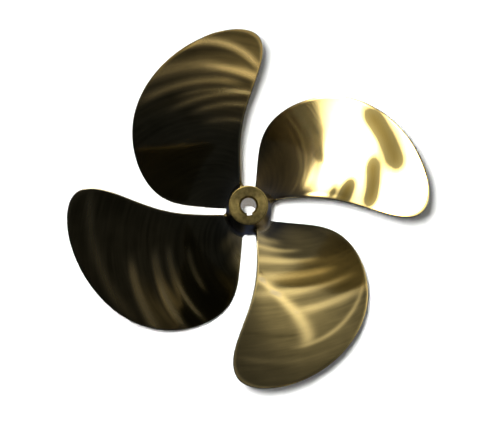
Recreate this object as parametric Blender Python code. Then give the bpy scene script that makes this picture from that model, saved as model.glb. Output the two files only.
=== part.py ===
"""Four-bladed fixed-pitch ship's propeller, cast in one piece from bronze.

The shaft axis is Z. The forward face of the hub lies at Z = 0 and rests on the floor.
The aft face, with the small end of the tapered bore, looks up.
Seen from aft, which is from above, the propeller turns anticlockwise: it is left-handed.
Lengths are in metres. Angles are in degrees, counted anticlockwise from above.
"""

import math

import bmesh
import bpy
import numpy as np

# Whole propeller
RADIUS = 0.350
BLADES = 4
PITCH = 0.735
RAKE_AT_TIP = 0.0305
REFERENCE_SHARE = 0.6
REFERENCE_ANGLE = 35.0
REFERENCE_HEIGHT = 0.1085
FIRST_BLADE_ANGLE = 90.0

# Hub: a barrel that is widest a little forward of its middle
HUB_LENGTH = 0.1625
HUB_FORWARD_RADIUS = 0.0405
HUB_WIDEST_RADIUS = 0.0455
HUB_WIDEST_HEIGHT = 0.080
HUB_AFT_RADIUS = 0.0382
HUB_RIM_CHAMFER = 0.0012

# Bore: 1 in 16 on the diameter, for a 40 mm shaft, with one keyway along it
BORE_FORWARD_RADIUS = 0.0200
BORE_TAPER = 1 / 16
BORE_FORWARD_CHAMFER = 0.0020
BORE_AFT_CHAMFER = 0.0040
KEYWAY_WIDTH = 0.0100
KEYWAY_DEPTH = 0.0045
KEYWAY_ANGLE = 278.0

# Blade sections
ROOT_THICKNESS = 0.0210
ROOT_SHARE = 0.2
TIP_THICKNESS = 0.0030
EDGE_THICKNESS = 0.0030
FILLET_RADIUS = 0.0100
BURIED_RADIUS = 0.0290

# Blade outline: share of the radius, angle of the leading edge, angle of the trailing edge
OUTLINE = (
    (0.12, 73.9, 21.3),
    (0.15, 76.4, 18.0),
    (0.20, 78.8, 14.1),
    (0.25, 80.1, 11.5),
    (0.30, 80.9, 9.6),
    (0.40, 81.5, 6.2),
    (0.50, 80.0, 2.8),
    (0.60, 75.6, -0.7),
    (0.70, 68.3, -3.6),
    (0.80, 59.1, -5.3),
    (0.90, 46.7, -4.7),
    (0.95, 36.5, -2.6),
    (0.98, 26.7, 0.8),
)
TIP_ANGLE = 11.2
OUTLINE_DEGREE = 6

# How finely the round shapes are divided
HUB_SEGMENTS = 72
BARREL_STEPS = 10
CHORD_POINTS = 12
FREE_RINGS = 22
FILLET_RINGS = (0.0375, 0.0400, 0.0425, 0.0450, 0.0475, 0.0505, 0.0545)
LAST_RING = 0.008
TIP_CROWDING = 1.35


def outline_curves():
    """Two smooth curves through the outline table: the middle angle, and the half angle.

    The half angle is divided by the root of what is left to the tip, so that the tip is round.
    """
    share, leading, trailing = np.array(OUTLINE).T
    middle = np.append((leading + trailing) / 2, TIP_ANGLE)
    opened = (leading - trailing) / 2 / np.sqrt(1 - share)
    middle_curve = np.polyfit(np.append(share, 1.0), middle, OUTLINE_DEGREE)
    return middle_curve, np.polyfit(share, opened, OUTLINE_DEGREE)


MIDDLE_CURVE, OPENED_CURVE = outline_curves()


def middle_angle(radius):
    """Angle of the middle of the blade section at this radius."""
    return float(np.polyval(MIDDLE_CURVE, radius / RADIUS))


def half_angle(radius):
    """Half the angle that the blade section covers at this radius."""
    share = radius / RADIUS
    return float(np.polyval(OPENED_CURVE, share)) * math.sqrt(1 - share)


def face_height(radius, angle):
    """Height of the pressure face: a screw of constant pitch, raked aft towards the tip."""
    rake = RAKE_AT_TIP * (radius / RADIUS - REFERENCE_SHARE)
    return REFERENCE_HEIGHT + rake - PITCH * (angle - REFERENCE_ANGLE) / 360


def section_thickness(radius):
    """Greatest thickness of the blade section at this radius."""
    part = (radius / RADIUS - ROOT_SHARE) / (1 - ROOT_SHARE)
    return ROOT_THICKNESS + (TIP_THICKNESS - ROOT_THICKNESS) * part


def hub_radius(height):
    """Radius of the barrel at this height: a quarter sine wave on each side of the widest place."""
    if height < HUB_WIDEST_HEIGHT:
        end, part = HUB_FORWARD_RADIUS, height / HUB_WIDEST_HEIGHT
    else:
        end = HUB_AFT_RADIUS
        part = (HUB_LENGTH - height) / (HUB_LENGTH - HUB_WIDEST_HEIGHT)
    return end + (HUB_WIDEST_RADIUS - end) * math.sin(math.pi / 2 * max(part, 0.0))


def bore_radius(height):
    """Radius of the tapered bore at this height."""
    return BORE_FORWARD_RADIUS - BORE_TAPER / 2 * height


def add_object(name, mesh_builder):
    """Turns a bmesh into an object of the scene."""
    mesh = bpy.data.meshes.new(name)
    bmesh.ops.recalc_face_normals(mesh_builder, faces=mesh_builder.faces)
    mesh_builder.to_mesh(mesh)
    mesh_builder.free()
    obj = bpy.data.objects.new(name, mesh)
    bpy.context.scene.collection.objects.link(obj)
    return obj


def hub_profile():
    """Half section of the hub, once round its outside and back through the bore."""
    chamfer = HUB_RIM_CHAMFER
    profile = [(hub_radius(0.0) - chamfer, 0.0)]
    for step in range(BARREL_STEPS + 1):
        height = chamfer + (HUB_LENGTH - 2 * chamfer) * step / BARREL_STEPS
        profile.append((hub_radius(height), height))
    profile.append((hub_radius(HUB_LENGTH) - chamfer, HUB_LENGTH))
    aft, forward = BORE_AFT_CHAMFER, BORE_FORWARD_CHAMFER
    profile.append((bore_radius(HUB_LENGTH) + aft, HUB_LENGTH))
    profile.append((bore_radius(HUB_LENGTH - aft), HUB_LENGTH - aft))
    profile.append((bore_radius(forward), forward))
    profile.append((bore_radius(0.0) + forward, 0.0))
    return profile


def make_hub():
    """The hub, turned on the shaft axis with its bore."""
    turned = bmesh.new()
    corners = [turned.verts.new((radius, 0.0, height)) for radius, height in hub_profile()]
    edges = [turned.edges.new((corners[i - 1], corners[i])) for i in range(len(corners))]
    bmesh.ops.spin(
        turned,
        geom=corners + edges,
        cent=(0, 0, 0),
        axis=(0, 0, 1),
        angle=2 * math.pi,
        steps=HUB_SEGMENTS,
        use_merge=True,
    )
    return add_object("propeller", turned)


def fillet_width(gap):
    """How far the root fillet widens the blade at this distance out from the hub."""
    closeness = max(FILLET_RADIUS - max(gap, 0.0), 0.0)
    return FILLET_RADIUS - math.sqrt(FILLET_RADIUS**2 - closeness**2)


def section_loop(radius):
    """A closed blade section: flat pressure face, arched suction side and round edges.

    Each entry is the distance along the chord from its middle towards the leading edge, and
    the distance behind the pressure face.
    """
    slope = PITCH / (2 * math.pi * radius)
    half_chord = radius * math.radians(half_angle(radius)) * math.hypot(1.0, slope)
    greatest = max(section_thickness(radius), EDGE_THICKNESS)
    flat = half_chord - min(EDGE_THICKNESS / 2, half_chord / 3)
    places = [math.cos(math.pi * step / (CHORD_POINTS - 1)) for step in range(CHORD_POINTS)]
    face = [(-flat * place, 0.0) for place in places]
    back = []
    for place in places:
        arch = (greatest - EDGE_THICKNESS) * (1 - place**2)
        back.append((flat * place, EDGE_THICKNESS + arch))
    leading_edge = [(half_chord, EDGE_THICKNESS / 2)]
    trailing_edge = [(-half_chord, EDGE_THICKNESS / 2)]
    return face + leading_edge + back + trailing_edge


def wrapped(radius, along, behind):
    """Angle and height of a section's point once the section lies on its cylinder."""
    slope = PITCH / (2 * math.pi * radius)
    lead = math.hypot(1.0, slope)
    middle = middle_angle(radius)
    angle = middle + math.degrees((along - behind * slope) / (lead * radius))
    height = face_height(radius, middle) - (along * slope + behind) / lead
    return angle, height


def blade_ring(radius):
    """The section at this radius, widened by the fillet where it comes close to the hub."""
    loop = section_loop(radius)
    ring = []
    for index, (along, behind) in enumerate(loop):
        before = loop[index - 1]
        after = loop[(index + 1) % len(loop)]
        run, rise = after[0] - before[0], after[1] - before[1]
        length = math.hypot(run, rise)
        height = wrapped(radius, along, behind)[1]
        width = fillet_width(radius - hub_radius(height))
        ring.append(
            wrapped(radius, along + width * rise / length, behind - width * run / length)
        )
    return ring


def ring_radii():
    """Radii of the blade's rings, from inside the wall of the hub to the tip."""
    radii = [BURIED_RADIUS, *FILLET_RINGS]
    span = RADIUS - radii[-1]
    for step in range(1, FREE_RINGS + 1):
        left = max(1 - step / FREE_RINGS, LAST_RING)
        radii.append(RADIUS - span * left**TIP_CROWDING)
    return radii


def make_blade(number):
    """One blade, a closed body that starts inside the wall of the hub."""
    turn = FIRST_BLADE_ANGLE + 360 * number / BLADES
    lofted = bmesh.new()
    rings = []
    for radius in ring_radii():
        ring = []
        for angle, height in blade_ring(radius):
            around = math.radians(turn + angle)
            place = (radius * math.cos(around), radius * math.sin(around), height)
            ring.append(lofted.verts.new(place))
        rings.append(ring)
    for inner, outer in zip(rings, rings[1:]):
        for index in range(len(inner)):
            corners = (inner[index - 1], inner[index], outer[index], outer[index - 1])
            lofted.faces.new(corners)
    lofted.faces.new(rings[0])
    lofted.faces.new(rings[-1])
    return add_object(f"blade_{number + 1}", lofted)


def make_keyway_cutter():
    """A bar that leans with the taper and cuts the keyway through the whole hub."""
    middle = HUB_LENGTH / 2
    reach = bore_radius(middle) + KEYWAY_DEPTH
    bar = bmesh.new()
    bmesh.ops.create_cube(bar, size=1.0)
    bmesh.ops.scale(bar, vec=(reach, KEYWAY_WIDTH, 2 * HUB_LENGTH), verts=bar.verts)
    bmesh.ops.translate(bar, vec=(reach / 2, 0, 0), verts=bar.verts)
    cutter = add_object("keyway_cutter", bar)
    cutter.rotation_euler = (0, -math.atan(BORE_TAPER / 2), math.radians(KEYWAY_ANGLE))
    cutter.location = (0, 0, middle)
    return cutter


def combine(target, other, operation):
    """Joins or cuts another body with an exact Boolean."""
    other.hide_render = True
    other.display_type = "WIRE"
    modifier = target.modifiers.new(other.name, "BOOLEAN")
    modifier.operation = operation
    modifier.solver = "EXACT"
    modifier.object = other


def polished_bronze():
    """Polished manganese bronze, a yellow metal with a soft mirror finish."""
    material = bpy.data.materials.new("polished manganese bronze")
    material.use_nodes = True
    shader = material.node_tree.nodes["Principled BSDF"]
    shader.inputs["Base Color"].default_value = (0.58, 0.41, 0.17, 1.0)
    shader.inputs["Metallic"].default_value = 1.0
    shader.inputs["Roughness"].default_value = 0.2
    return material


def main():
    """Clears the scene and builds the casting."""
    for obj in list(bpy.data.objects):
        bpy.data.objects.remove(obj)
    casting = make_hub()
    for number in range(BLADES):
        combine(casting, make_blade(number), "UNION")
    combine(casting, make_keyway_cutter(), "DIFFERENCE")
    casting.data.materials.append(polished_bronze())
    casting.data.shade_smooth()


main()
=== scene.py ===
"""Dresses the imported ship's propeller: one bronze casting, a pale floor, studio light and a camera.

The casting has the same outline, screw surface, rake, sections and hub as the part's solids. It
adds what the solids leave out: the shallow waves and fine lines that hand polishing leaves on
the blades, the eased edges, the turned faces of the hub and the reamed bore.
Lengths are in metres. Angles are in degrees, counted anticlockwise from above.
"""

import math

import bpy
import numpy as np
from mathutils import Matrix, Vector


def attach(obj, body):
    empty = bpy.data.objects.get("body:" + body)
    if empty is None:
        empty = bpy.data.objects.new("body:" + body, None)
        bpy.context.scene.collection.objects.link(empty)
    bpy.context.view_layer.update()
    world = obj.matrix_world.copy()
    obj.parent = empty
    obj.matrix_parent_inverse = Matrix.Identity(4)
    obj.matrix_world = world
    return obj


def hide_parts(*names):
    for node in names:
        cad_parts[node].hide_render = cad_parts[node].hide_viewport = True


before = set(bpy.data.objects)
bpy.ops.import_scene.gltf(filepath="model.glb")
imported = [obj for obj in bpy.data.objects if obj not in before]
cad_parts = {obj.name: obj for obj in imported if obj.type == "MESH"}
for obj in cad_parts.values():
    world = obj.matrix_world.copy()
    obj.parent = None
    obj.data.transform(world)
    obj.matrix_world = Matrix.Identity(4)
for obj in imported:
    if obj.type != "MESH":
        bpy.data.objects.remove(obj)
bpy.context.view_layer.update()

bl_info = {
    "name": "Ship propeller",
    "version": (1, 0, 0),
    "blender": (4, 5, 0),
    "location": "View3D > Sidebar > Propeller",
    "description": "Four-bladed bronze ship's propeller, with its floor, light and camera",
    "category": "Add Mesh",
}

BLADES = 4
FIRST_BLADE_ANGLE = 90.0

# Blade outline: share of the radius, angle of the leading edge, angle of the trailing edge
OUTLINE = (
    (0.12, 73.9, 21.3),
    (0.15, 76.4, 18.0),
    (0.20, 78.8, 14.1),
    (0.25, 80.1, 11.5),
    (0.30, 80.9, 9.6),
    (0.40, 81.5, 6.2),
    (0.50, 80.0, 2.8),
    (0.60, 75.6, -0.7),
    (0.70, 68.3, -3.6),
    (0.80, 59.1, -5.3),
    (0.90, 46.7, -4.7),
    (0.95, 36.5, -2.6),
    (0.98, 26.7, 0.8),
)
INNER_SHARE = 0.12
TIP_ANGLE = 11.2
OUTLINE_DEGREE = 6

# The screw surface passes through this height at this share of the radius and this angle
REFERENCE_SHARE = 0.6
REFERENCE_ANGLE = 35.0
REFERENCE_HEIGHT = 0.1084

# The sections get thinner from this share of the radius on. The round of an edge takes up no
# more than such a part of half the chord.
THICKEST_SHARE = 0.2
EDGE_LIMIT = 0.97

# How finely the casting is divided, and which part of the points crowds towards the edges
FACE_POINTS = 72
BACK_POINTS = 34
EDGE_POINTS = 7
FREE_RINGS = 118
FILLET_STEPS = 11
HUB_STEPS = 192
BARREL_STEPS = 44
BORE_STEPS = 8
RIM_POINTS = 6
END_FACE_PARTS = (0.75, 0.5, 0.25, 0)
CROWDED, EVEN = 0.45, 0.55

# Root of the blade: how deep it starts in the hub's wall, its first rings as distances from that
# wall, and where its rings stop following it. The last ring leaves a small part of the span.
MEAN_HUB_RADIUS = 0.0430
BURIED_RADIUS = 0.0290
FIRST_RINGS = [-0.003, -0.001]
FILLET_SINK = 0.0003
FOLLOW_END = 0.0750
LAST_RING = 0.002

# Finishes by material slot, and how the faces are told apart: in metres, and by the upward part
# of the direction that they face
TURNED, REAMED, GROUND = 1, 2, 3
ON_END = 1e-5
AFT_CORNERS = 0.005
BORE_MARGIN = 0.0005
LEVEL = 0.999
FACING_AFT = 0.6
FACING_FORWARD = -0.1

# The belt lines of each blade climb by so much of the radius for each degree, and that climb
# grows by so much. The belt throws up a ridge so far beside a stroke. Last, the painted light of
# the blade between the strokes, which stands in for what it mirrors: -1 is painted shade in
# brown, 0 tarnished, 1 polished and 2 a pale painted highlight, as on the fourth blade.
BELT_ANGLE = 35.0
BELTS = (
    (0.0055, 0.0, -0.025, 0.10),
    (0.0046, 0.0, 0.020, 0.05),
    (0.0042, 0.00007, -0.021, 0.17),
    (0.0060, 0.0, 0.0, 1.70),
)

# Polishing strokes of each blade, read off the photo: the share of the radius where a stroke
# crosses BELT_ANGLE, its climb and the growth of the climb, the angles where it starts and ends,
# half its width as a share of the radius, the height of its ridge in millimetres, how hazy it
# left the metal, and how much painted light it adds: a painted highlight for a bright reflection
# along it, and painted shade where the value is below zero.
STROKES = (
    (
        (0.97, -0.0058, -0.00028, -6, 24, 0.018, 0.50, 0.2, 0.90),
        (0.947, 0.0062, 0.0, -8, 14, 0.018, 0.50, 0.2, 0.90),
        (0.95, 0.0058, 0.0, 12, 40, 0.030, 0.50, 0.3, 0.40),
        (0.846, 0.0050, 0.0, 6, 44, 0.018, 0.40, 0.3, 0.40),
        (0.78, 0.0045, 0.0, -2, 30, 0.010, 0.00, 0.3, 0.30),
        (0.725, 0.0035, 0.00002, -4, 36, 0.012, 0.20, 0.3, 0.35),
        (0.655, 0.0028, 0.0, -2, 28, 0.012, 0.20, 0.3, 0.40),
        (0.58, 0.0034, 0.0, 2, 26, 0.012, 0.00, 0.3, 0.25),
    ),
    (
        (0.90, 0.0010, 0.0, -4, 40, 0.020, 0.00, 0.4, 0.20),
        (0.77, 0.0049, 0.0, 26, 52, 0.018, 0.60, 0.6, 0.60),
        (0.627, 0.0050, 0.0, 26, 60, 0.016, 0.70, 0.7, 0.50),
        (0.632, 0.0050, 0.0, 40, 64, 0.012, 0.00, 0.0, 0.60),
        (0.537, 0.0042, 0.0, 28, 66, 0.013, 0.70, 0.7, 0.50),
        (0.540, 0.0042, 0.0, 46, 68, 0.010, 0.00, 0.0, 0.60),
        (0.416, 0.0040, 0.0, 34, 60, 0.014, 0.60, 0.8, 0.25),
        (0.10, 0.0042, 0.0, 68, 90, 0.040, 0.00, 0.4, 0.20),
    ),
    (
        (0.837, -0.0003, -0.00009, 20, 58, 0.008, 0.10, 0.1, 0.55),
        (0.676, 0.0040, 0.00007, 26, 57, 0.016, 0.40, 0.2, 0.72),
        (0.559, 0.0043, 0.00007, 4, 57, 0.014, 0.50, 0.2, 0.68),
        (0.463, 0.0042, 0.00008, 2, 54, 0.017, 0.50, 0.2, 0.72),
        (0.363, 0.0042, 0.00007, 4, 55, 0.016, 0.50, 0.2, 0.68),
        (0.286, 0.0038, 0.00005, 8, 52, 0.012, 0.40, 0.2, 0.52),
        (0.22, 0.0030, 0.0, 8, 45, 0.020, 0.30, 0.2, 0.40),
        (0.94, 0.0030, 0.0, -4, 30, 0.012, 0.00, 0.1, 0.12),
        (0.80, 0.0030, 0.0, -4, 22, 0.010, 0.00, 0.1, -0.08),
        (0.25, 0.0040, 0.0, 56, 95, 0.120, 0.00, 0.0, 0.10),
    ),
    (
        (0.12, 0.0076, 0.0, -15, 110, 0.360, 0.00, 0.0, -1.64),
        (0.89, 0.0016, 0.0, 13, 41, 0.048, 0.00, 0.0, -2.40),
        (0.800, 0.0040, 0.0, -2, 22, 0.034, 0.00, 0.0, -2.40),
        (0.705, 0.0058, 0.0, -2, 15, 0.034, 0.00, 0.0, -2.30),
        (0.60, 0.0050, 0.0, 4, 14, 0.018, 0.00, 0.0, -1.30),
        (0.450, 0.0075, 0.0, 20, 70, 0.020, 0.10, 0.0, 0.60),
        (0.400, 0.0070, 0.0, 26, 72, 0.008, 0.00, 0.0, 0.60),
        (0.360, 0.0066, 0.0, 16, 66, 0.008, 0.00, 0.0, 0.30),
        (0.615, 0.0055, 0.0, 0, 45, 0.060, 0.55, 0.0, 0.00),
        (0.52, 0.0055, 0.0, 0, 45, 0.042, 0.90, 0.0, 0.00),
        (0.30, 0.0055, 0.0, 5, 45, 0.048, -0.75, 0.0, 0.00),
    ),
)

# A band of painted highlight that crosses the belt lines of the third blade, for the bright
# reflection across them: its angle at CROSS_SHARE, how that grows with the share and its square,
# where it starts and ends, half its width in degrees, how hazy and how much painted light
CROSS_BLADE = 2
CROSS_SHARE = 0.6
CROSSING = (22.4, 39.0, -150.0, 0.39, 0.82, 2.0, 0.1, 0.80)

# A stroke fades over so many degrees at its ends, and the band that crosses over such a share of
# the radius. A ridge is at least so wide. The strokes paint no more light than the last value.
STROKE_FADE = 12
CROSS_FADE = 0.06
LEAST_SPREAD = 0.018
MOST_PAINTED_LIGHT = 1.4

# The waves start so far from the edges, from the tip and from the axis, and get their full
# height over such a distance
WAVE_EDGE, WAVE_EDGE_RUN = 0.002, 0.009
WAVE_TIP, WAVE_TIP_RUN = 0.002, 0.010
WAVE_ROOT, WAVE_ROOT_RUN = 0.052, 0.030

# The belt doesn't reach into the root fillets, which stay satin. They are painted to one level
# of light, and are so hazy. That ends so far from the axis, and changes to the polish over such a
# distance.
ROOT_PAINTED_LIGHT, ROOT_HAZE = 0.20, 0.40
ROOT_START, ROOT_RUN = 0.048, 0.022

# Along the edges a highlight is painted where they face aft, on each blade to its own level.
# Where they face sideways they are set to the dark tarnished level 0, and stay hazy. The strip is
# so wide, fades over such a distance, and starts so far from the axis.
EDGE_PAINTED_HIGHLIGHT = (0.8, 0.3, 0.8, 0.1)
EDGE_HAZE = 0.6
EDGE_START, EDGE_RUN = 0.001, 0.0035
EDGE_INNER_RADIUS = 0.050


def colour_property(name, description, code):
    """A colour that the panel shows, with its default given as an sRGB hex code."""
    return bpy.props.FloatVectorProperty(
        name=name, description=description, default=linear(code), subtype="COLOR", size=3, min=0, max=1
    )


def length_property(name, description, default):
    """A length that the panel shows."""
    return bpy.props.FloatProperty(
        name=name, description=description, default=default, min=0, precision=4, unit="LENGTH"
    )


def linear(code):
    """An sRGB hex code as linear red, green and blue."""
    parts = [int(code[at : at + 2], 16) / 255 for at in (0, 2, 4)]
    return [part / 12.92 if part <= 0.04045 else ((part + 0.055) / 1.055) ** 2.4 for part in parts]


class PropellerSizes(bpy.types.PropertyGroup):
    """Sizes of the casting."""

    radius: length_property("Tip radius", "From the shaft axis to the blade tips", 0.3493)
    pitch: length_property("Pitch", "Advance of the pressure face in one turn", 0.735)
    rake: length_property("Rake at the tip", "How far aft the tip leans", 0.0305)
    root_thickness: length_property("Root thickness", "Thickest section at a fifth of the radius", 0.021)
    tip_thickness: length_property("Tip thickness", "Thickest section at the tip", 0.003)
    edge_thickness: length_property("Edge thickness", "Thickness of the round blade edges", 0.003)
    fillet: length_property("Root fillet", "Radius where a blade runs into the hub", 0.010)
    bevel_width: length_property("Leading bevel", "Width of the eased strip on the leading edge", 0.008)
    bevel_depth: length_property("Bevel depth", "How far that strip falls away", 0.0011)
    hub_length: length_property("Hub length", "From the forward face to the aft face", 0.1625)
    hub_forward: length_property("Forward radius", "Outside radius of the forward face", 0.0405)
    hub_widest: length_property("Widest radius", "Outside radius of the barrel", 0.0455)
    hub_widest_height: length_property("Widest height", "Height of the widest place", 0.080)
    hub_aft: length_property("Aft radius", "Outside radius of the aft face", 0.0382)
    hub_rim: length_property("Rim", "Radius of the eased rims of the hub", 0.0016)
    bore: length_property("Bore radius", "Radius of the bore at the forward face", 0.020)
    bore_taper: bpy.props.FloatProperty(name="Taper", description="Taper on the diameter", default=1 / 16)
    bore_chamfer_forward: length_property("Forward chamfer", "Chamfer of the bore, forward", 0.002)
    bore_chamfer_aft: length_property("Aft chamfer", "Chamfer of the bore, aft", 0.004)
    keyway_width: length_property("Keyway width", "Width of the keyway", 0.010)
    keyway_depth: length_property("Keyway depth", "Depth of the keyway in the wall", 0.0045)
    keyway_angle: bpy.props.FloatProperty(
        name="Keyway angle", description="Where the keyway lies", default=math.radians(278), subtype="ANGLE"
    )
    waves: bpy.props.FloatProperty(
        name="Polishing waves", description="Depth of the waves that polishing left", default=1.0, min=0
    )


class PropellerColours(bpy.types.PropertyGroup):
    """Colours of the casting and the floor."""

    polished: colour_property("Polished bronze", "Colour of the blades where they are clean", "E8CC84")
    stained: colour_property("Stained bronze", "Colour of the blades where they are tarnished", "504628")
    # The next two colours are painted light: painted shade where the fourth blade's mirror misses the
    # softbox, and a pale painted highlight where it mirrors it
    painted_shade: colour_property("Painted shade", "Colour of the painted shade patches on the fourth blade", "443818")
    painted_highlight: colour_property("Painted highlight", "Colour where a bright reflection is painted, as on the fourth blade", "F0DCB0")
    turned: colour_property("Turned bronze", "Colour of the hub's faces", "B8A05C")
    reamed: colour_property("Reamed bronze", "Colour inside the bore", "9C8350")
    ground: colour_property("Ground bronze", "Colour of the suction sides", "C6BA96")
    floor: colour_property("Floor", "Colour of the floor", "F4F4F2")


def middle_angle(share):
    """Angle of the middle of the blade section."""
    return np.polyval(MIDDLE_CURVE, share)


def half_angle(share):
    """Half the angle that the blade section covers."""
    return np.polyval(OPENED_CURVE, share) * np.sqrt(np.clip(1 - share, 0, 1))


def outline_curves():
    """Smooth curves through the outline: the middle angle, and the half angle.

    The half angle is divided by the root of what is left to the tip, so that the tip is round.
    """
    share, leading, trailing = np.array(OUTLINE).T
    middle = np.append((leading + trailing) / 2, TIP_ANGLE)
    opened = (leading - trailing) / 2 / np.sqrt(1 - share)
    middle_curve = np.polyfit(np.append(share, 1.0), middle, OUTLINE_DEGREE)
    return middle_curve, np.polyfit(share, opened, OUTLINE_DEGREE)


MIDDLE_CURVE, OPENED_CURVE = outline_curves()


def hub_radius(sizes, height):
    """Radius of the barrel: a quarter sine wave on each side of the widest place."""
    widest = sizes.hub_widest_height
    below = height < widest
    end = np.where(below, sizes.hub_forward, sizes.hub_aft)
    part = np.where(below, height / widest, (sizes.hub_length - height) / (sizes.hub_length - widest))
    return end + (sizes.hub_widest - end) * np.sin(np.pi / 2 * np.clip(part, 0, 1))


def bore_radius(sizes, height):
    """Radius of the tapered bore."""
    return sizes.bore - sizes.bore_taper / 2 * height


def eased(part):
    """Runs smoothly from 0 to 1 while the part does."""
    part = np.clip(part, 0, 1)
    return part * part * (3 - 2 * part)


def belt_line(number, share, angle):
    """Which belt line a point lies on: the share of the radius where it crosses mid blade."""
    climb, growth = BELTS[number][:2]
    turned = angle - BELT_ANGLE
    return share - climb * turned - growth * turned**2


def polishing(number, share, angle):
    """What the strokes left at each point of a blade: height in metres and haze, and the painted light that
    stands in for its reflections.
    """
    turned = angle - BELT_ANGLE
    beside, painted_reflection = BELTS[number][2:]
    height, haze = 0.0, 0.0
    for place, climb, growth, start, end, width, ridge, dull, bright in STROKES[number]:
        away = share - place - climb * turned - growth * turned**2
        reach = eased((angle - start) / STROKE_FADE + 0.5) * eased((end - angle) / STROKE_FADE + 0.5)
        across = np.exp(-((away / width) ** 2) / 2) * reach
        spread = max(width, LEAST_SPREAD)
        height = height + ridge * 0.001 * reach * np.exp(-(((away - beside) / spread) ** 2) / 2)
        haze = haze + dull * across
        painted_reflection = painted_reflection + bright * across
    if number == CROSS_BLADE:
        middle, growth, curve, start, end, width, dull, bright = CROSSING
        out = share - CROSS_SHARE
        away = angle - middle - growth * out - curve * out**2
        reach = eased((share - start) / CROSS_FADE + 0.5) * eased((end - share) / CROSS_FADE + 0.5)
        across = np.exp(-((away / width) ** 2) / 2) * reach
        haze = haze + dull * across
        painted_reflection = painted_reflection + bright * across
    return height, np.clip(haze, 0, 1), np.clip(painted_reflection, -1, max(MOST_PAINTED_LIGHT, BELTS[number][3]))


def blade_loop():
    """One turn round a blade section: the kind of surface, place along it and turn of the edge.

    Kind 0 is the pressure face, 1 the leading edge, 2 the suction side and 3 the trailing edge.
    """
    even = np.linspace(0, 1, FACE_POINTS)
    face = -np.cos(np.pi * even) * CROWDED + (2 * even - 1) * EVEN
    back = np.cos(np.pi * np.linspace(0, 1, BACK_POINTS))
    turn = np.linspace(-90, 90, EDGE_POINTS + 2)[1:-1]
    kind = np.repeat([0, 1, 2, 3], [FACE_POINTS, EDGE_POINTS, BACK_POINTS, EDGE_POINTS])
    place = np.concatenate([face, np.ones(EDGE_POINTS), back, -np.ones(EDGE_POINTS)])
    zero = np.zeros(FACE_POINTS)
    turned = np.concatenate([zero, turn, np.zeros(BACK_POINTS), -turn])
    return kind, place, np.radians(turned)


def lean(sizes, share, side):
    """Cosine of the angle between the blade's edge and the radius, on the unrolled section."""
    step = 1e-4
    spots = []
    for near in (share - step, np.minimum(share + step, 1 - 1e-6)):
        slope = sizes.pitch / (2 * np.pi * near * sizes.radius)
        angle = middle_angle(near) + side * half_angle(near)
        spots.append(near * sizes.radius * np.radians(angle) * np.hypot(1, slope))
    run = (spots[1] - spots[0]) / (2 * step * sizes.radius)
    return 1 / np.hypot(1, run)


def section_points(sizes, radius, kind, place, turned):
    """Distance along the chord and behind the pressure face of every point of the sections."""
    share = radius / sizes.radius
    slope = sizes.pitch / (2 * np.pi * radius)
    half_chord = radius * np.radians(half_angle(share)) * np.hypot(1, slope)
    edge = sizes.edge_thickness
    closing = np.sqrt(1 - np.clip((radius - sizes.radius + edge / 2) / (edge / 2), 0, 1) ** 2)
    edge = edge * closing
    part = (share - THICKEST_SHARE) / (1 - THICKEST_SHARE)
    greatest = sizes.root_thickness + (sizes.tip_thickness - sizes.root_thickness) * part
    arch = np.maximum(greatest - sizes.edge_thickness, 0) * closing
    ahead = lean(sizes, share, 1)
    astern = lean(sizes, share, -1)
    reach = sizes.edge_thickness / 2
    front = half_chord - np.minimum(reach / ahead, EDGE_LIMIT * half_chord)
    rear = half_chord - np.minimum(reach / astern, EDGE_LIMIT * half_chord)
    along = (place + 1) / 2 * (front + rear) - rear
    left = (half_chord - along) * ahead
    bevel = sizes.bevel_depth * np.clip(1 - left / sizes.bevel_width, 0, 1) ** 2 * closing
    corner = sizes.bevel_depth * (1 - reach / sizes.bevel_width) ** 2 * closing
    behind = np.where(kind == 0, bevel, edge + arch * (1 - place**2))
    low = np.where(kind == 1, corner, 0)
    tip = np.where(kind == 1, half_chord - front, half_chord - rear)
    rounded = (low + edge) / 2 + (edge - low) / 2 * np.sin(turned * np.where(kind == 3, -1, 1))
    rounded = np.where(kind == 3, edge / 2 * (1 + np.sin(-turned)), rounded)
    on_edge = (kind == 1) | (kind == 3)
    along = np.where(on_edge, along + place * tip * np.cos(turned), along)
    behind = np.where(on_edge, rounded, behind)
    return along, behind


def wrapped(sizes, radius, along, behind):
    """Angle and height of a section's points once the section lies on its cylinder."""
    slope = sizes.pitch / (2 * np.pi * radius)
    lead = np.hypot(1, slope)
    middle = middle_angle(radius / sizes.radius)
    angle = middle + np.degrees((along - behind * slope) / (lead * radius))
    rake = sizes.rake * (radius / sizes.radius - REFERENCE_SHARE)
    face = REFERENCE_HEIGHT + rake - sizes.pitch * (middle - REFERENCE_ANGLE) / 360
    return angle, face - (along * slope + behind) / lead


def blade_stations(sizes):
    """Radii of the blade's rings, measured on a hub that is a plain cylinder.

    The rings crowd together in the root fillet and towards the tip.
    """
    bend = np.radians(np.linspace(0, 90, FILLET_STEPS))
    gaps = sizes.fillet * (1 - np.cos(bend)) - FILLET_SINK
    rooted = MEAN_HUB_RADIUS + np.concatenate([FIRST_RINGS, gaps])
    left = np.linspace(1, 0, FREE_RINGS + 1)[1:]
    left[-1] = LAST_RING
    span = sizes.radius - rooted[-1]
    free = sizes.radius - span * (0.75 * left**1.5 + 0.25 * left**2)
    return np.concatenate([[BURIED_RADIUS], rooted, free])


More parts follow.
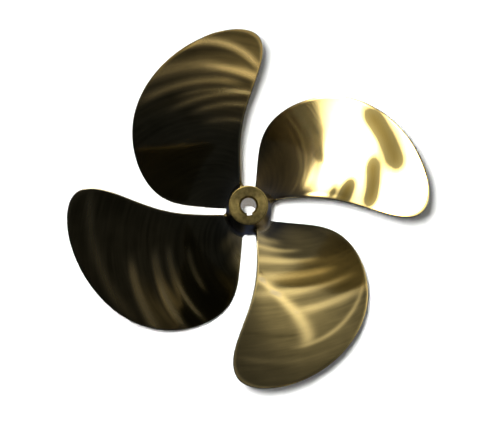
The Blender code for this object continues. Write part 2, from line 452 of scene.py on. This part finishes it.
def blade_surface(sizes, number):
    """Angle, radius and height of every point of a blade, one row for each ring."""
    kind, place, turned = blade_loop()
    stations = blade_stations(sizes)[:, None] + np.zeros(len(kind))
    along, behind = section_points(sizes, stations, kind, place, turned)
    height = wrapped(sizes, stations, along, behind)[1]
    follow = eased((FOLLOW_END - stations) / (FOLLOW_END - MEAN_HUB_RADIUS - sizes.fillet))
    radius = stations + (hub_radius(sizes, height) - MEAN_HUB_RADIUS) * follow
    radius = np.minimum(radius, sizes.radius)
    along, behind = section_points(sizes, radius, kind, place, turned)
    run = np.roll(along, -1, axis=1) - np.roll(along, 1, axis=1)
    rise = np.roll(behind, -1, axis=1) - np.roll(behind, 1, axis=1)
    length = np.maximum(np.hypot(run, rise), 1e-9)
    gap = radius - hub_radius(sizes, wrapped(sizes, radius, along, behind)[1]) + FILLET_SINK
    close = np.clip(sizes.fillet - np.maximum(gap, 0), 0, sizes.fillet)
    width = sizes.fillet - np.sqrt(sizes.fillet**2 - close**2)
    share = radius / sizes.radius
    angle = wrapped(sizes, radius, along, behind)[0]
    waves = sizes.waves * polishing(number, share, angle)[0] * wave_fade(sizes, radius, along, kind)
    along = along + width * rise / length
    behind = behind - width * run / length - waves
    angle, height = wrapped(sizes, radius, along, behind)
    return angle, radius, height


def edge_room(sizes, radius, along):
    """Distance from a point of a section to the nearer edge of the blade."""
    share = radius / sizes.radius
    slope = sizes.pitch / (2 * np.pi * radius)
    half_chord = radius * np.radians(half_angle(share)) * np.hypot(1, slope)
    return (half_chord - np.abs(along)) * np.minimum(lean(sizes, share, 1), lean(sizes, share, -1))


def wave_fade(sizes, radius, along, kind):
    """The waves are on the pressure face and die out at the edges and at the root fillet."""
    room = edge_room(sizes, radius, along)
    fade = eased((room - WAVE_EDGE) / WAVE_EDGE_RUN) * eased((radius - WAVE_ROOT) / WAVE_ROOT_RUN)
    fade = fade * eased((sizes.radius - radius - WAVE_TIP) / WAVE_TIP_RUN)
    return np.where(kind == 0, fade, 0)


def hub_profile(sizes):
    """Half section of the hub as distance from the axis and height, once round its wall."""
    rim = sizes.hub_rim
    bend = np.radians(np.linspace(0, 90, RIM_POINTS))
    profile = []
    for turn in bend:
        out = hub_radius(sizes, rim) - rim + rim * math.sin(turn)
        profile.append((float(out), rim - rim * math.cos(turn)))
    for step in range(1, BARREL_STEPS):
        height = rim + (sizes.hub_length - 2 * rim) * step / BARREL_STEPS
        profile.append((float(hub_radius(sizes, height)), height))
    for turn in bend:
        out = hub_radius(sizes, sizes.hub_length - rim) - rim + rim * math.cos(turn)
        profile.append((float(out), sizes.hub_length - rim + rim * math.sin(turn)))
    aft, forward = sizes.bore_chamfer_aft, sizes.bore_chamfer_forward
    top = sizes.hub_length
    for part in END_FACE_PARTS:
        inner = bore_radius(sizes, top) + aft
        profile.append((inner + (profile[-1][0] - inner) * part, top))
    for step in range(BORE_STEPS + 1):
        height = top - aft + (forward - top + aft) * step / BORE_STEPS
        profile.append((bore_radius(sizes, height), height))
    inner = bore_radius(sizes, 0.0) + forward
    for part in reversed(END_FACE_PARTS):
        profile.append((inner + (profile[0][0] - inner) * part, 0.0))
    return profile


def only(obj):
    """Makes this object the only selected one, and the active one."""
    bpy.ops.object.select_all(action="DESELECT")
    obj.select_set(True)
    bpy.context.view_layer.objects.active = obj
    return obj


def shape(obj, points):
    """Moves every vertex of the object to its point."""
    obj.data.vertices.foreach_set("co", np.asarray(points, np.float32).ravel())
    obj.data.update()


def read(items, name, kind=float):
    """A property with three parts of every vertex, face or triangle, one row for each."""
    values = np.empty(len(items) * 3, kind)
    items.foreach_get(name, values)
    return values.reshape(-1, 3)


def signed_volume(mesh):
    """Volume of a closed mesh, below zero where its faces point inwards."""
    mesh.calc_loop_triangles()
    corners = read(mesh.loop_triangles, "vertices", np.int32)
    return np.linalg.det(read(mesh.vertices, "co")[corners]).sum() / 6


def tidy_mesh(obj, within=1e-6):
    """Merges doubled points and turns the faces outwards."""
    only(obj)
    bpy.ops.object.mode_set(mode="EDIT")
    bpy.ops.mesh.select_all(action="SELECT")
    bpy.ops.mesh.remove_doubles(threshold=within)
    bpy.ops.mesh.normals_make_consistent(inside=False)
    bpy.ops.object.mode_set(mode="OBJECT")
    if signed_volume(obj.data) < 0:
        bpy.ops.object.mode_set(mode="EDIT")
        bpy.ops.mesh.select_all(action="SELECT")
        bpy.ops.mesh.flip_normals()
        bpy.ops.object.mode_set(mode="OBJECT")


def combine(target, other, operation):
    """Joins or cuts another closed body, and removes it."""
    only(target)
    modifier = target.modifiers.new(other.name, "BOOLEAN")
    modifier.operation = operation
    modifier.solver = "MANIFOLD"
    modifier.object = other
    bpy.ops.object.modifier_apply(modifier=modifier.name)
    bpy.data.objects.remove(other)


def make_hub(sizes):
    """A loop pressed to the hub's half section, then spun round the shaft axis."""
    bpy.ops.object.select_all(action="DESELECT")
    profile = hub_profile(sizes)
    bpy.ops.mesh.primitive_circle_add(vertices=len(profile), radius=sizes.hub_widest)
    hub = bpy.context.object
    hub.name = "propeller_casting"
    hub.data.name = "propeller_casting"
    shape(hub, [(out, 0.0, height) for out, height in profile])
    bpy.ops.object.mode_set(mode="EDIT")
    bpy.ops.mesh.select_all(action="SELECT")
    bpy.ops.mesh.spin(
        steps=HUB_STEPS, angle=2 * math.pi, center=(0, 0, 0), axis=(0, 0, 1), dupli=False
    )
    bpy.ops.object.mode_set(mode="OBJECT")
    tidy_mesh(hub)
    return hub


def make_bar(sizes):
    """A round bar, extruded ring by ring, which each blade is pressed from."""
    bpy.ops.object.select_all(action="DESELECT")
    points = len(blade_loop()[0])
    bpy.ops.mesh.primitive_circle_add(vertices=points, radius=1.0, fill_type="NGON")
    bar = bpy.context.object
    bpy.ops.object.mode_set(mode="EDIT")
    bpy.ops.mesh.select_all(action="SELECT")
    for _ in range(len(blade_stations(sizes)) - 1):
        bpy.ops.mesh.extrude_region_move(TRANSFORM_OT_translate={"value": (0, 0, 1)})
    bpy.ops.object.mode_set(mode="OBJECT")
    return bar


def press_blade(bar, sizes, number):
    """Presses a bar to a blade's sections, screw surface and polishing waves."""
    angle, radius, height = blade_surface(sizes, number)
    points = radius.shape[1]
    spots = read(bar.data.vertices, "co")
    ring = np.rint(spots[:, 2]).astype(int)
    point = np.rint(np.arctan2(spots[:, 1], spots[:, 0]) / (2 * np.pi) * points).astype(int) % points
    around = np.radians(FIRST_BLADE_ANGLE + 360 / BLADES * number + angle[ring, point])
    out = radius[ring, point]
    shape(bar, np.column_stack([out * np.cos(around), out * np.sin(around), height[ring, point]]))
    tidy_mesh(bar, 1e-7)


def make_blades(sizes):
    """Each blade is pressed from a copy of one bar."""
    blades = [make_bar(sizes)]
    for _ in range(BLADES - 1):
        only(blades[0])
        bpy.ops.object.duplicate(linked=False)
        blades.append(bpy.context.object)
    for number, blade in enumerate(blades):
        press_blade(blade, sizes, number)
    return blades


def make_keyway_cutter(sizes):
    """A bar that leans with the taper and passes through the whole hub."""
    middle = sizes.hub_length / 2
    reach = bore_radius(sizes, middle) + sizes.keyway_depth
    bpy.ops.object.select_all(action="DESELECT")
    bpy.ops.mesh.primitive_cube_add(size=1.0)
    cutter = bpy.context.object
    cutter.data.transform(
        Matrix.Translation((reach / 2, 0, 0))
        @ Matrix.Diagonal((reach, sizes.keyway_width, 2 * sizes.hub_length, 1))
    )
    cutter.rotation_euler = (0, -math.atan(sizes.bore_taper / 2), sizes.keyway_angle)
    cutter.location = (0, 0, middle)
    only(cutter)
    bpy.ops.object.transform_apply(location=True, rotation=True, scale=True)
    return cutter


def give_faces_their_finish(casting, sizes):
    """The hub's ends are turned, the bore is reamed and the suction sides are only ground.

    The rounded rim and the chamfer at the aft end are turned with it. The rest is polished.
    """
    centre = read(casting.data.polygons, "center")
    height, facing = centre[:, 2], read(casting.data.polygons, "normal")[:, 2]
    out = np.hypot(centre[:, 0], centre[:, 1])
    on_end = (height < ON_END) | (height > sizes.hub_length - ON_END)
    ends = on_end & (np.abs(facing) > LEVEL) & (out < sizes.hub_widest)
    near_aft = (height > sizes.hub_length - AFT_CORNERS) & (out < sizes.hub_aft)
    finish = np.zeros(len(centre), np.int32)
    finish[out < bore_radius(sizes, height) + sizes.keyway_depth + BORE_MARGIN] = REAMED
    finish[ends | (near_aft & (facing > FACING_AFT))] = TURNED
    finish[(facing < FACING_FORWARD) & (out > sizes.hub_widest + sizes.fillet)] = GROUND
    casting.data.polygons.foreach_set("material_index", finish)


def blade_places(sizes, points):
    """Share of the radius, angle on its own blade and number of that blade, for every point."""
    share = np.clip(np.hypot(points[:, 0], points[:, 1]) / sizes.radius, INNER_SHARE, 1)
    around = np.degrees(np.arctan2(points[:, 1], points[:, 0])) - FIRST_BLADE_ANGLE
    start = middle_angle(share) - 180 / BLADES
    angle = (around - start) % (360 / BLADES) + start
    blade = np.rint((around - angle) / (360 / BLADES)).astype(int) % BLADES
    return share, angle, blade


def edge_strip(sizes, radius, share, angle):
    """1 along the edges of the blades, and 0 further in and on the hub.

    At the tip and near the axis the curves of the outline are followed no further.
    """
    out = np.minimum(radius, sizes.radius - 1e-4)
    lead = np.hypot(1, sizes.pitch / (2 * np.pi * np.maximum(out, 0.02)))
    along_chord = np.radians(angle - middle_angle(share)) * radius * lead
    room = edge_room(sizes, np.maximum(out, INNER_SHARE * sizes.radius), along_chord)
    room = np.minimum(room, sizes.radius - radius)
    return (1 - eased((room - EDGE_START) / EDGE_RUN)) * (radius > EDGE_INNER_RADIUS)


def lay_out_grinding_map(casting, sizes):
    """A UV map along and across the belt lines, in metres, and what the strokes left: haze and painted
    light.
    """
    mesh = casting.data
    points = read(mesh.vertices, "co")
    radius = np.hypot(points[:, 0], points[:, 1])
    share, angle, blade = blade_places(sizes, points)
    across, haze, painted_reflection = np.empty((3, len(points)))
    for number in range(BLADES):
        mine = blade == number
        across[mine] = belt_line(number, share[mine], angle[mine]) * sizes.radius
        haze[mine], painted_reflection[mine] = polishing(number, share[mine], angle[mine])[1:]
    # Near the axis the painted light of the strokes gives way to the one painted level of the fillets
    reached = eased((radius - ROOT_START) / ROOT_RUN)
    haze = ROOT_HAZE + (haze - ROOT_HAZE) * reached
    painted_reflection = ROOT_PAINTED_LIGHT + (painted_reflection - ROOT_PAINTED_LIGHT) * reached
    # 1 where the metal faces aft, and 0 where it faces sideways or forward
    up = eased((read(mesh.vertices, "normal")[:, 2] - 0.1) / 0.2)
    near = edge_strip(sizes, radius, share, angle)
    # A painted highlight on the edges that face aft, and the dark tarnished level on those that face
    # sideways
    painted_reflection = painted_reflection + (np.array(EDGE_PAINTED_HIGHLIGHT)[blade] * up - painted_reflection) * near
    haze = haze + (EDGE_HAZE - haze) * near * (1 - up)
    for name, values in (("haze", haze), ("painted_reflection", painted_reflection)):
        layer = mesh.attributes.new(name, "FLOAT", "POINT")
        layer.data.foreach_set("value", values.astype(np.float32))
    along = np.radians(angle) * radius + blade
    layer = mesh.uv_layers.new(name="grinding")
    corner = np.empty(len(mesh.loops), np.int32)
    mesh.loops.foreach_get("vertex_index", corner)
    layer.data.foreach_set("uv", np.column_stack([along, across])[corner].astype(np.float32).ravel())


def add_node(tree, kind, inputs=None, **settings):
    """Adds a node with its settings. Each input is a value or the output that feeds it."""
    node = tree.nodes.new(kind)
    for name, value in settings.items():
        setattr(node, name, value)
    for socket, value in (inputs or {}).items():
        if isinstance(value, bpy.types.NodeSocket):
            tree.links.new(value, node.inputs[socket])
        else:
            node.inputs[socket].default_value = value
    return node


def new_material(name):
    """An empty material with its tree and its principled shader."""
    material = bpy.data.materials.new(name)
    material.use_nodes = True
    tree = material.node_tree
    return material, tree, tree.nodes["Principled BSDF"]


def tool_lines(tree, place, scale, detail, roughness):
    """The lines that a belt or a reamer leaves, as noise that is drawn out along them."""
    drawn_out = add_node(tree, "ShaderNodeMapping", {"Vector": place, "Scale": scale}).outputs["Vector"]
    return add_node(
        tree,
        "ShaderNodeTexNoise",
        {"Vector": drawn_out, "Scale": 1.0, "Detail": detail, "Roughness": roughness},
    ).outputs["Fac"]


def cut_into_metal(tree, shader, lines, haze, strength, depth):
    """Makes the shader a bare metal with these lines in it, this deep in metres.

    The haze runs from its first value to its second across the lines, and is also given back.
    """
    low, high = haze
    dull = add_node(
        tree,
        "ShaderNodeMapRange",
        {"Value": lines, "From Min": 0.3, "From Max": 0.7, "To Min": low, "To Max": high},
    ).outputs["Result"]
    relief = add_node(
        tree, "ShaderNodeBump", {"Height": lines, "Strength": strength, "Distance": depth}
    ).outputs["Normal"]
    tree.links.new(dull, shader.inputs["Roughness"])
    tree.links.new(relief, shader.inputs["Normal"])
    shader.inputs["Metallic"].default_value = 1.0
    return dull


def polished_bronze(colours):
    """Manganese bronze, ground with a belt and polished by hand to a soft mirror.

    The eye gets a yellow mirror with fine hazy lines along the belt. Its colour paints the light
    that the blades mirror: brown painted shade, tarnished and polished tones between, and a pale
    painted highlight where the fourth blade mirrors the softbox.
    """
    material, tree, shader = new_material("polished manganese bronze")
    grinding = add_node(tree, "ShaderNodeUVMap", uv_map="grinding").outputs["UV"]
    # A belt's lines are 0.1 mm wide. The widest are drawn at 2.4 by 70 mm, so that they show.
    streaks = tool_lines(tree, grinding, (14.0, 420.0, 1.0), 4.0, 0.6)
    # The tarnish is uneven, in clouds of 110 mm and in bands 9 mm wide along the belt
    place = add_node(tree, "ShaderNodeTexCoord").outputs["Object"]
    patches = add_node(
        tree, "ShaderNodeTexNoise", {"Vector": place, "Scale": 9.0, "Detail": 3.0, "Roughness": 0.55}
    ).outputs["Fac"]
    bands = tool_lines(tree, grinding, (7.0, 110.0, 1.0), 3.0, 0.6)
    spread = add_node(tree, "ShaderNodeMath", {0: patches, 1: bands}, operation="ADD").outputs[0]
    uneven = add_node(
        tree,
        "ShaderNodeMapRange",
        {"Value": spread, "From Min": 0.7, "From Max": 1.3, "To Min": -0.09, "To Max": 0.09},
    ).outputs["Result"]
    # The painted light from the strokes picks the colour: -1 painted shade, 0 tarnished, 1 polished and 2 a
    # pale painted highlight
    painted_reflection = add_node(tree, "ShaderNodeAttribute", attribute_name="painted_reflection").outputs["Fac"]
    level = add_node(tree, "ShaderNodeMath", {0: painted_reflection, 1: uneven}, operation="ADD").outputs[0]
    share = add_node(
        tree, "ShaderNodeMapRange", {"Value": level, "From Min": -1.0, "From Max": 2.0}
    ).outputs["Result"]
    colour = add_node(tree, "ShaderNodeValToRGB", {"Fac": share})
    stops = colour.color_ramp.elements
    stops[0].color = (*colours.painted_shade, 1)
    stops[1].color = (*colours.painted_highlight, 1)
    stops.new(1 / 3).color = (*colours.stained, 1)
    stops.new(2 / 3).color = (*colours.polished, 1)
    tree.links.new(colour.outputs["Color"], shader.inputs["Base Color"])
    haze = cut_into_metal(tree, shader, streaks, (0.09, 0.14), 0.25, 0.00005)
    stroke = add_node(tree, "ShaderNodeAttribute", attribute_name="haze").outputs["Fac"]
    dull = add_node(tree, "ShaderNodeMath", {0: stroke, 1: 0.45, 2: haze}, operation="MULTIPLY_ADD")
    tree.links.new(dull.outputs[0], shader.inputs["Roughness"])
    # The grooves lie along the belt, so they spread the light across it
    tangent = add_node(tree, "ShaderNodeTangent", direction_type="UV_MAP", uv_map="grinding")
    tree.links.new(tangent.outputs["Tangent"], shader.inputs["Tangent"])
    shader.inputs["Anisotropic"].default_value = 0.85
    shader.inputs["Anisotropic Rotation"].default_value = 0.25
    return material


def turned_bronze(colours):
    """Manganese bronze faced on a lathe: a satin metal with fine rings round the axis."""
    material, tree, shader = new_material("turned manganese bronze")
    place = add_node(tree, "ShaderNodeTexCoord").outputs["Object"]
    parts = add_node(tree, "ShaderNodeSeparateXYZ", {"Vector": place}).outputs
    flat = add_node(tree, "ShaderNodeCombineXYZ", {"X": parts["X"], "Y": parts["Y"]}).outputs["Vector"]
    out = add_node(tree, "ShaderNodeVectorMath", {0: flat}, operation="LENGTH").outputs["Value"]
    # A facing cut leaves a groove every 0.2 mm. It is drawn every 3 mm, so that it shows.
    rings = add_node(
        tree, "ShaderNodeTexNoise", {"W": out, "Scale": 350.0, "Detail": 3.0}, noise_dimensions="1D"
    ).outputs["Fac"]
    # Spots of tarnish, 9 mm wide
    mottle = add_node(
        tree, "ShaderNodeTexNoise", {"Vector": place, "Scale": 110.0, "Detail": 3.0}
    ).outputs["Fac"]
    stain = add_node(
        tree, "ShaderNodeMapRange", {"Value": mottle, "From Min": 0.4, "From Max": 0.62, "To Max": 0.45}
    ).outputs["Result"]
    colour = add_node(
        tree,
        "ShaderNodeMix",
        {"Factor": stain, "A": (*colours.turned, 1), "B": (*colours.stained, 1)},
        data_type="RGBA",
    )
    tree.links.new(colour.outputs[2], shader.inputs["Base Color"])
    cut_into_metal(tree, shader, rings, (0.26, 0.42), 0.5, 0.00012)
    # The grooves run round the axis, so they spread the light along the radius
    tangent = add_node(tree, "ShaderNodeTangent", direction_type="RADIAL", axis="Z")
    tree.links.new(tangent.outputs["Tangent"], shader.inputs["Tangent"])
    shader.inputs["Anisotropic"].default_value = 0.7
    return material


def ground_bronze(colours):
    """Manganese bronze after a coarser belt: a duller mirror, with lines along the belt.

    The photo doesn't show this side, so the finish is a guess.
    """
    material, tree, shader = new_material("ground manganese bronze")
    grinding = add_node(tree, "ShaderNodeUVMap", uv_map="grinding").outputs["UV"]
    # The lines are 0.2 mm wide. The widest are drawn at 2 by 80 mm, so that they show.
    streaks = tool_lines(tree, grinding, (12.0, 500.0, 1.0), 4.0, 0.6)
    cut_into_metal(tree, shader, streaks, (0.14, 0.22), 0.5, 0.00008)
    shader.inputs["Base Color"].default_value = (*colours.ground, 1)
    return material


def reamed_bronze(colours):
    """Manganese bronze cut with a taper reamer: a dull mirror, with fine lines along the bore."""
    material, tree, shader = new_material("reamed manganese bronze")
    place = add_node(tree, "ShaderNodeTexCoord").outputs["Object"]
    # A reamer's scores are 0.1 mm wide. The widest are drawn at 2 mm, so that they show.
    scores = tool_lines(tree, place, (500.0, 500.0, 8.0), 3.0, 0.5)
    cut_into_metal(tree, shader, scores, (0.12, 0.22), 0.4, 0.00005)
    shader.inputs["Base Color"].default_value = (*colours.reamed, 1)
    return material


def direction(azimuth, polar):
    """Unit vector at this angle round the shaft axis and this angle from straight up."""
    around, down = math.radians(azimuth), math.radians(polar)
    return Vector(
        (math.sin(down) * math.cos(around), math.sin(down) * math.sin(around), math.cos(down))
    )


# Soft panels round the propeller: name, angle round the axis, angle from straight up, half width
# and half height as seen from the propeller in degrees, brightness, share of the panel that fades
# at its edge, how far it is rolled, and its colour
CARDS = (
    ("key_softbox", 111, 66, 15, 33, 6.8, 0.40, -21, "FFFFFF"),
    ("second_softbox", 81, 49, 11, 15, 7.0, 0.32, -18, "FFFFFF"),
    ("key_surround", 97, 66, 23, 31, 2.60, 0.50, 2, "FFFFFF"),
    ("third_softbox", 104, 55, 14, 20, 5.0, 0.45, -20, "FFFFFF"),
    ("gold_reflector", 25, 86, 26, 52, 0.85, 0.33, -13, "FFFFFF"),
    ("warm_surround", 38, 75, 43, 60, 0.20, 0.34, 20, "FFFFFF"),
    ("tip_kicker", 158, 46, 10, 13, 0.70, 0.50, 0, "FFF4DC"),
    ("tip_fill", 165, 38, 30, 36, 0.16, 0.50, 0, "FFF4DC"),
    ("gold_strip", 27, 66, 5, 26, 0.80, 0.50, -18, "FFFFFF"),
    ("dim_panel", 130, 93, 38, 61, 0.10, 0.33, 17, "FFE8B8"),
    ("low_panel", -4, 112, 21, 37, 0.30, 0.50, -5, "FFFFFF"),
    ("edge_glow", -28, 118, 12, 26, 0.25, 0.50, 0, "FFFFFF"),
    ("overhead_panel", 90, 14, 22, 22, 0.26, 0.45, 0, "FFFFFF"),
    ("left_panel", 298, 40, 38, 60, 0.02, 0.50, 26, "FFECC8"),
    ("left_strip", 324, 49, 12, 20, 0.26, 0.50, 25, "FFF0D0"),
    ("floor_glow", 13, 138, 26, 26, 0.50, 0.50, 0, "FFFFFF"),
)
CARD_DISTANCE = 3.0


def glowing_material(name):
    """A material with an empty tree, for a thing that is only a light."""
    material = bpy.data.materials.new(name)
    material.use_nodes = True
    material.node_tree.nodes.clear()
    return material, material.node_tree


def card_material(name, strength, fade, code):
    """A lit cloth panel that is brightest in the middle and soft at its edge."""
    material, tree = glowing_material(name)
    spot = add_node(tree, "ShaderNodeTexCoord").outputs["UV"]
    parts = add_node(tree, "ShaderNodeSeparateXYZ", {"Vector": spot}).outputs
    levels = []
    for axis in ("X", "Y"):
        from_middle = add_node(tree, "ShaderNodeMath", {0: parts[axis], 1: 0.5}, operation="SUBTRACT")
        away = add_node(tree, "ShaderNodeMath", {0: from_middle.outputs[0]}, operation="ABSOLUTE")
        level = add_node(
            tree,
            "ShaderNodeMapRange",
            {"Value": away.outputs[0], "From Min": 0.5, "From Max": 0.5 - fade},
            interpolation_type="SMOOTHSTEP",
        )
        levels.append(level.outputs["Result"])
    faded = add_node(tree, "ShaderNodeMath", dict(enumerate(levels)), operation="MULTIPLY").outputs[0]
    power = add_node(tree, "ShaderNodeMath", {0: faded, 1: strength}, operation="MULTIPLY").outputs[0]
    glow = add_node(
        tree, "ShaderNodeEmission", {"Color": (*linear(code), 1), "Strength": power}
    ).outputs["Emission"]
    clear = add_node(tree, "ShaderNodeBsdfTransparent").outputs["BSDF"]
    mixed = add_node(tree, "ShaderNodeAddShader", {0: glow, 1: clear}).outputs["Shader"]
    add_node(tree, "ShaderNodeOutputMaterial", {"Surface": mixed})
    return material


def show_to_metal_only(obj):
    """Hides a glowing thing from the camera and from matt surfaces, and lets light through it."""
    obj.visible_camera = False
    obj.visible_diffuse = False
    obj.visible_shadow = False


def make_card(name, azimuth, polar, half_width, half_height, strength, fade, roll, code):
    """A soft panel that faces the propeller, and that only the metal mirrors."""
    bpy.ops.object.select_all(action="DESELECT")
    towards = direction(azimuth, polar)
    bpy.ops.mesh.primitive_plane_add(size=1.0, location=towards * CARD_DISTANCE)
    card = bpy.context.object
    card.name = name
    card.rotation_mode = "QUATERNION"
    turned = Matrix.Rotation(math.radians(roll), 3, "Z")
    card.rotation_quaternion = (towards.to_track_quat("Z", "Y").to_matrix() @ turned).to_quaternion()
    card.scale = (
        2 * CARD_DISTANCE * math.tan(math.radians(half_width)),
        2 * CARD_DISTANCE * math.tan(math.radians(half_height)),
        1,
    )
    card.data.materials.append(card_material(name, strength, fade, code))
    show_to_metal_only(card)


# The camera's place was fitted to the photo, and the lights for the floor stand beside it
CAMERA_PLACE = (0.0051, -0.2217, 1.8183)
FLOOR_LIGHTS = (
    ("lens_light", (0, 0), 0.10, 2.0),
    ("shadow_light", (-0.12, 0.12), 0.20, 52.0),
)

# The dark studio, the light from all round that falls on matt surfaces, and the backdrop
STUDIO = ("A8BAF0", 0.10)
SOFT_LIGHT = ("FFFFFF", 0.06)
BACKDROP = ("F6F6F4", 1.0)


def make_floor(colours):
    """A wide white floor under the propeller, lit a little from below as a light table is."""
    bpy.ops.object.select_all(action="DESELECT")
    bpy.ops.mesh.primitive_circle_add(vertices=96, radius=14.0, fill_type="NGON")
    floor = bpy.context.object
    floor.name = "studio_floor"
    material, tree, shader = new_material("white acrylic light table")
    shader.inputs["Base Color"].default_value = (*colours.floor, 1)
    shader.inputs["Roughness"].default_value = 0.9
    shader.inputs["Specular IOR Level"].default_value = 0.1
    shader.inputs["Emission Color"].default_value = (*colours.floor, 1)
    # The table is lit from below round the propeller, but not under it, where shadows fall
    place = add_node(tree, "ShaderNodeTexCoord").outputs["Object"]
    out = add_node(tree, "ShaderNodeVectorMath", {0: place}, operation="LENGTH").outputs["Value"]
    glow = add_node(
        tree,
        "ShaderNodeMapRange",
        {"Value": out, "From Min": 0.5, "From Max": 1.4, "To Min": 0.05, "To Max": 0.85},
        interpolation_type="SMOOTHSTEP",
    ).outputs["Result"]
    tree.links.new(glow, shader.inputs["Emission Strength"])
    floor.data.materials.append(material)
    floor.visible_glossy = False


def make_bore_floor():
    """A pale disc below the hub, which gives the wall of the bore a lit floor to mirror."""
    bpy.ops.object.select_all(action="DESELECT")
    bpy.ops.mesh.primitive_circle_add(
        vertices=48, radius=0.038, fill_type="NGON", location=(0, 0, -0.001)
    )
    patch = bpy.context.object
    patch.name = "floor_below_bore"
    material, tree = glowing_material("lit floor below the bore")
    glow = add_node(tree, "ShaderNodeEmission", {"Strength": 0.4}).outputs["Emission"]
    add_node(tree, "ShaderNodeOutputMaterial", {"Surface": glow})
    patch.data.materials.append(material)
    show_to_metal_only(patch)


def make_floor_lights():
    """Two round lights for the floor: one round the lens, and one beside it for a short shadow.

    The metal doesn't mirror them.
    """
    for name, offset, size, power in FLOOR_LIGHTS:
        light = bpy.data.lights.new(name, "AREA")
        light.shape = "DISK"
        light.size = size
        light.energy = power
        lamp = bpy.data.objects.new(name, light)
        bpy.context.scene.collection.objects.link(lamp)
        lamp.location = (CAMERA_PLACE[0] + offset[0], CAMERA_PLACE[1] + offset[1], CAMERA_PLACE[2])
        lamp.visible_glossy = False
        lamp.visible_camera = False


def make_world():
    """The dark studio that the metal mirrors. The camera sees a pale backdrop in its place."""
    world = bpy.data.worlds.new("studio")
    world.use_nodes = True
    tree = world.node_tree
    tree.nodes.clear()
    shades = []
    for code, strength in (STUDIO, SOFT_LIGHT, BACKDROP):
        inputs = {"Color": (*linear(code), 1), "Strength": strength}
        shades.append(add_node(tree, "ShaderNodeBackground", inputs).outputs["Background"])
    dark, soft, pale = shades
    path = add_node(tree, "ShaderNodeLightPath").outputs
    lit = add_node(tree, "ShaderNodeMixShader", {0: path["Is Diffuse Ray"], 1: dark, 2: soft})
    shown = add_node(
        tree, "ShaderNodeMixShader", {0: path["Is Camera Ray"], 1: lit.outputs[0], 2: pale}
    )
    add_node(tree, "ShaderNodeOutputWorld", {"Surface": shown.outputs[0]})
    bpy.context.scene.world = world


def make_camera():
    """The camera stands 1.8 m above the floor, a little towards the lower edge of the view."""
    lens = bpy.data.cameras.new("camera")
    lens.sensor_width = 36.0
    lens.lens = 62.35
    lens.shift_x = 0.0029
    lens.shift_y = -0.0052
    camera = bpy.data.objects.new("camera", lens)
    camera.rotation_euler = (math.radians(7.39), math.radians(0.17), 0)
    camera.location = CAMERA_PLACE
    bpy.context.scene.collection.objects.link(camera)
    bpy.context.scene.camera = camera


class PROPELLER_OT_hub(bpy.types.Operator):
    """Adds the barrel-shaped hub with its tapered bore."""

    bl_idname = "propeller.hub"
    bl_label = "Add hub"

    def execute(self, context):
        make_hub(context.scene.propeller_sizes)
        return {"FINISHED"}


class PROPELLER_OT_blades(bpy.types.Operator):
    """Adds the four blades and joins them to the hub."""

    bl_idname = "propeller.blades"
    bl_label = "Add blades"

    def execute(self, context):
        casting = bpy.data.objects["propeller_casting"]
        for blade in make_blades(context.scene.propeller_sizes):
            combine(casting, blade, "UNION")
        return {"FINISHED"}


class PROPELLER_OT_finish(bpy.types.Operator):
    """Cuts the keyway, gives every face its finish and sets the casting on its frame."""

    bl_idname = "propeller.finish"
    bl_label = "Machine and polish"

    def execute(self, context):
        sizes, colours = context.scene.propeller_sizes, context.scene.propeller_colours
        casting = bpy.data.objects["propeller_casting"]
        combine(casting, make_keyway_cutter(sizes), "DIFFERENCE")
        casting.data.materials.clear()
        for finish in (polished_bronze, turned_bronze, reamed_bronze, ground_bronze):
            casting.data.materials.append(finish(colours))
        give_faces_their_finish(casting, sizes)
        lay_out_grinding_map(casting, sizes)
        only(casting)
        bpy.ops.object.shade_smooth_by_angle(angle=math.radians(32))
        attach(casting, "root")
        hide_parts("propeller")
        return {"FINISHED"}


class PROPELLER_OT_stage(bpy.types.Operator):
    """Adds the floor, the lights, the backdrop and the camera."""

    bl_idname = "propeller.stage"
    bl_label = "Add stage"

    def execute(self, context):
        make_floor(context.scene.propeller_colours)
        for card in CARDS:
            make_card(*card)
        make_bore_floor()
        make_floor_lights()
        make_world()
        make_camera()
        context.scene.view_settings.view_transform = "Standard"
        return {"FINISHED"}


class PROPELLER_PT_panel(bpy.types.Panel):
    """Lists the steps, the sizes and the colours."""

    bl_idname = "PROPELLER_PT_panel"
    bl_label = "Ship propeller"
    bl_space_type = "VIEW_3D"
    bl_region_type = "UI"
    bl_category = "Propeller"

    def draw(self, context):
        for operator in OPERATORS:
            self.layout.operator(operator.bl_idname)
        for group in (context.scene.propeller_sizes, context.scene.propeller_colours):
            for name in group.__annotations__:
                self.layout.prop(group, name)


GROUPS = (PropellerSizes, PropellerColours)
OPERATORS = (PROPELLER_OT_hub, PROPELLER_OT_blades, PROPELLER_OT_finish, PROPELLER_OT_stage)


def register():
    """Registers the classes and hangs the sizes and colours on the scene."""
    for cls in (*GROUPS, *OPERATORS, PROPELLER_PT_panel):
        bpy.utils.register_class(cls)
    bpy.types.Scene.propeller_sizes = bpy.props.PointerProperty(type=PropellerSizes)
    bpy.types.Scene.propeller_colours = bpy.props.PointerProperty(type=PropellerColours)


def unregister():
    """Takes the classes away again."""
    del bpy.types.Scene.propeller_colours
    del bpy.types.Scene.propeller_sizes
    for cls in reversed((*GROUPS, *OPERATORS, PROPELLER_PT_panel)):
        bpy.utils.unregister_class(cls)


def main():
    """Builds the propeller and its stage."""
    register()
    bpy.ops.propeller.hub()
    bpy.ops.propeller.blades()
    bpy.ops.propeller.finish()
    bpy.ops.propeller.stage()


if __name__ == "__main__":
    main()
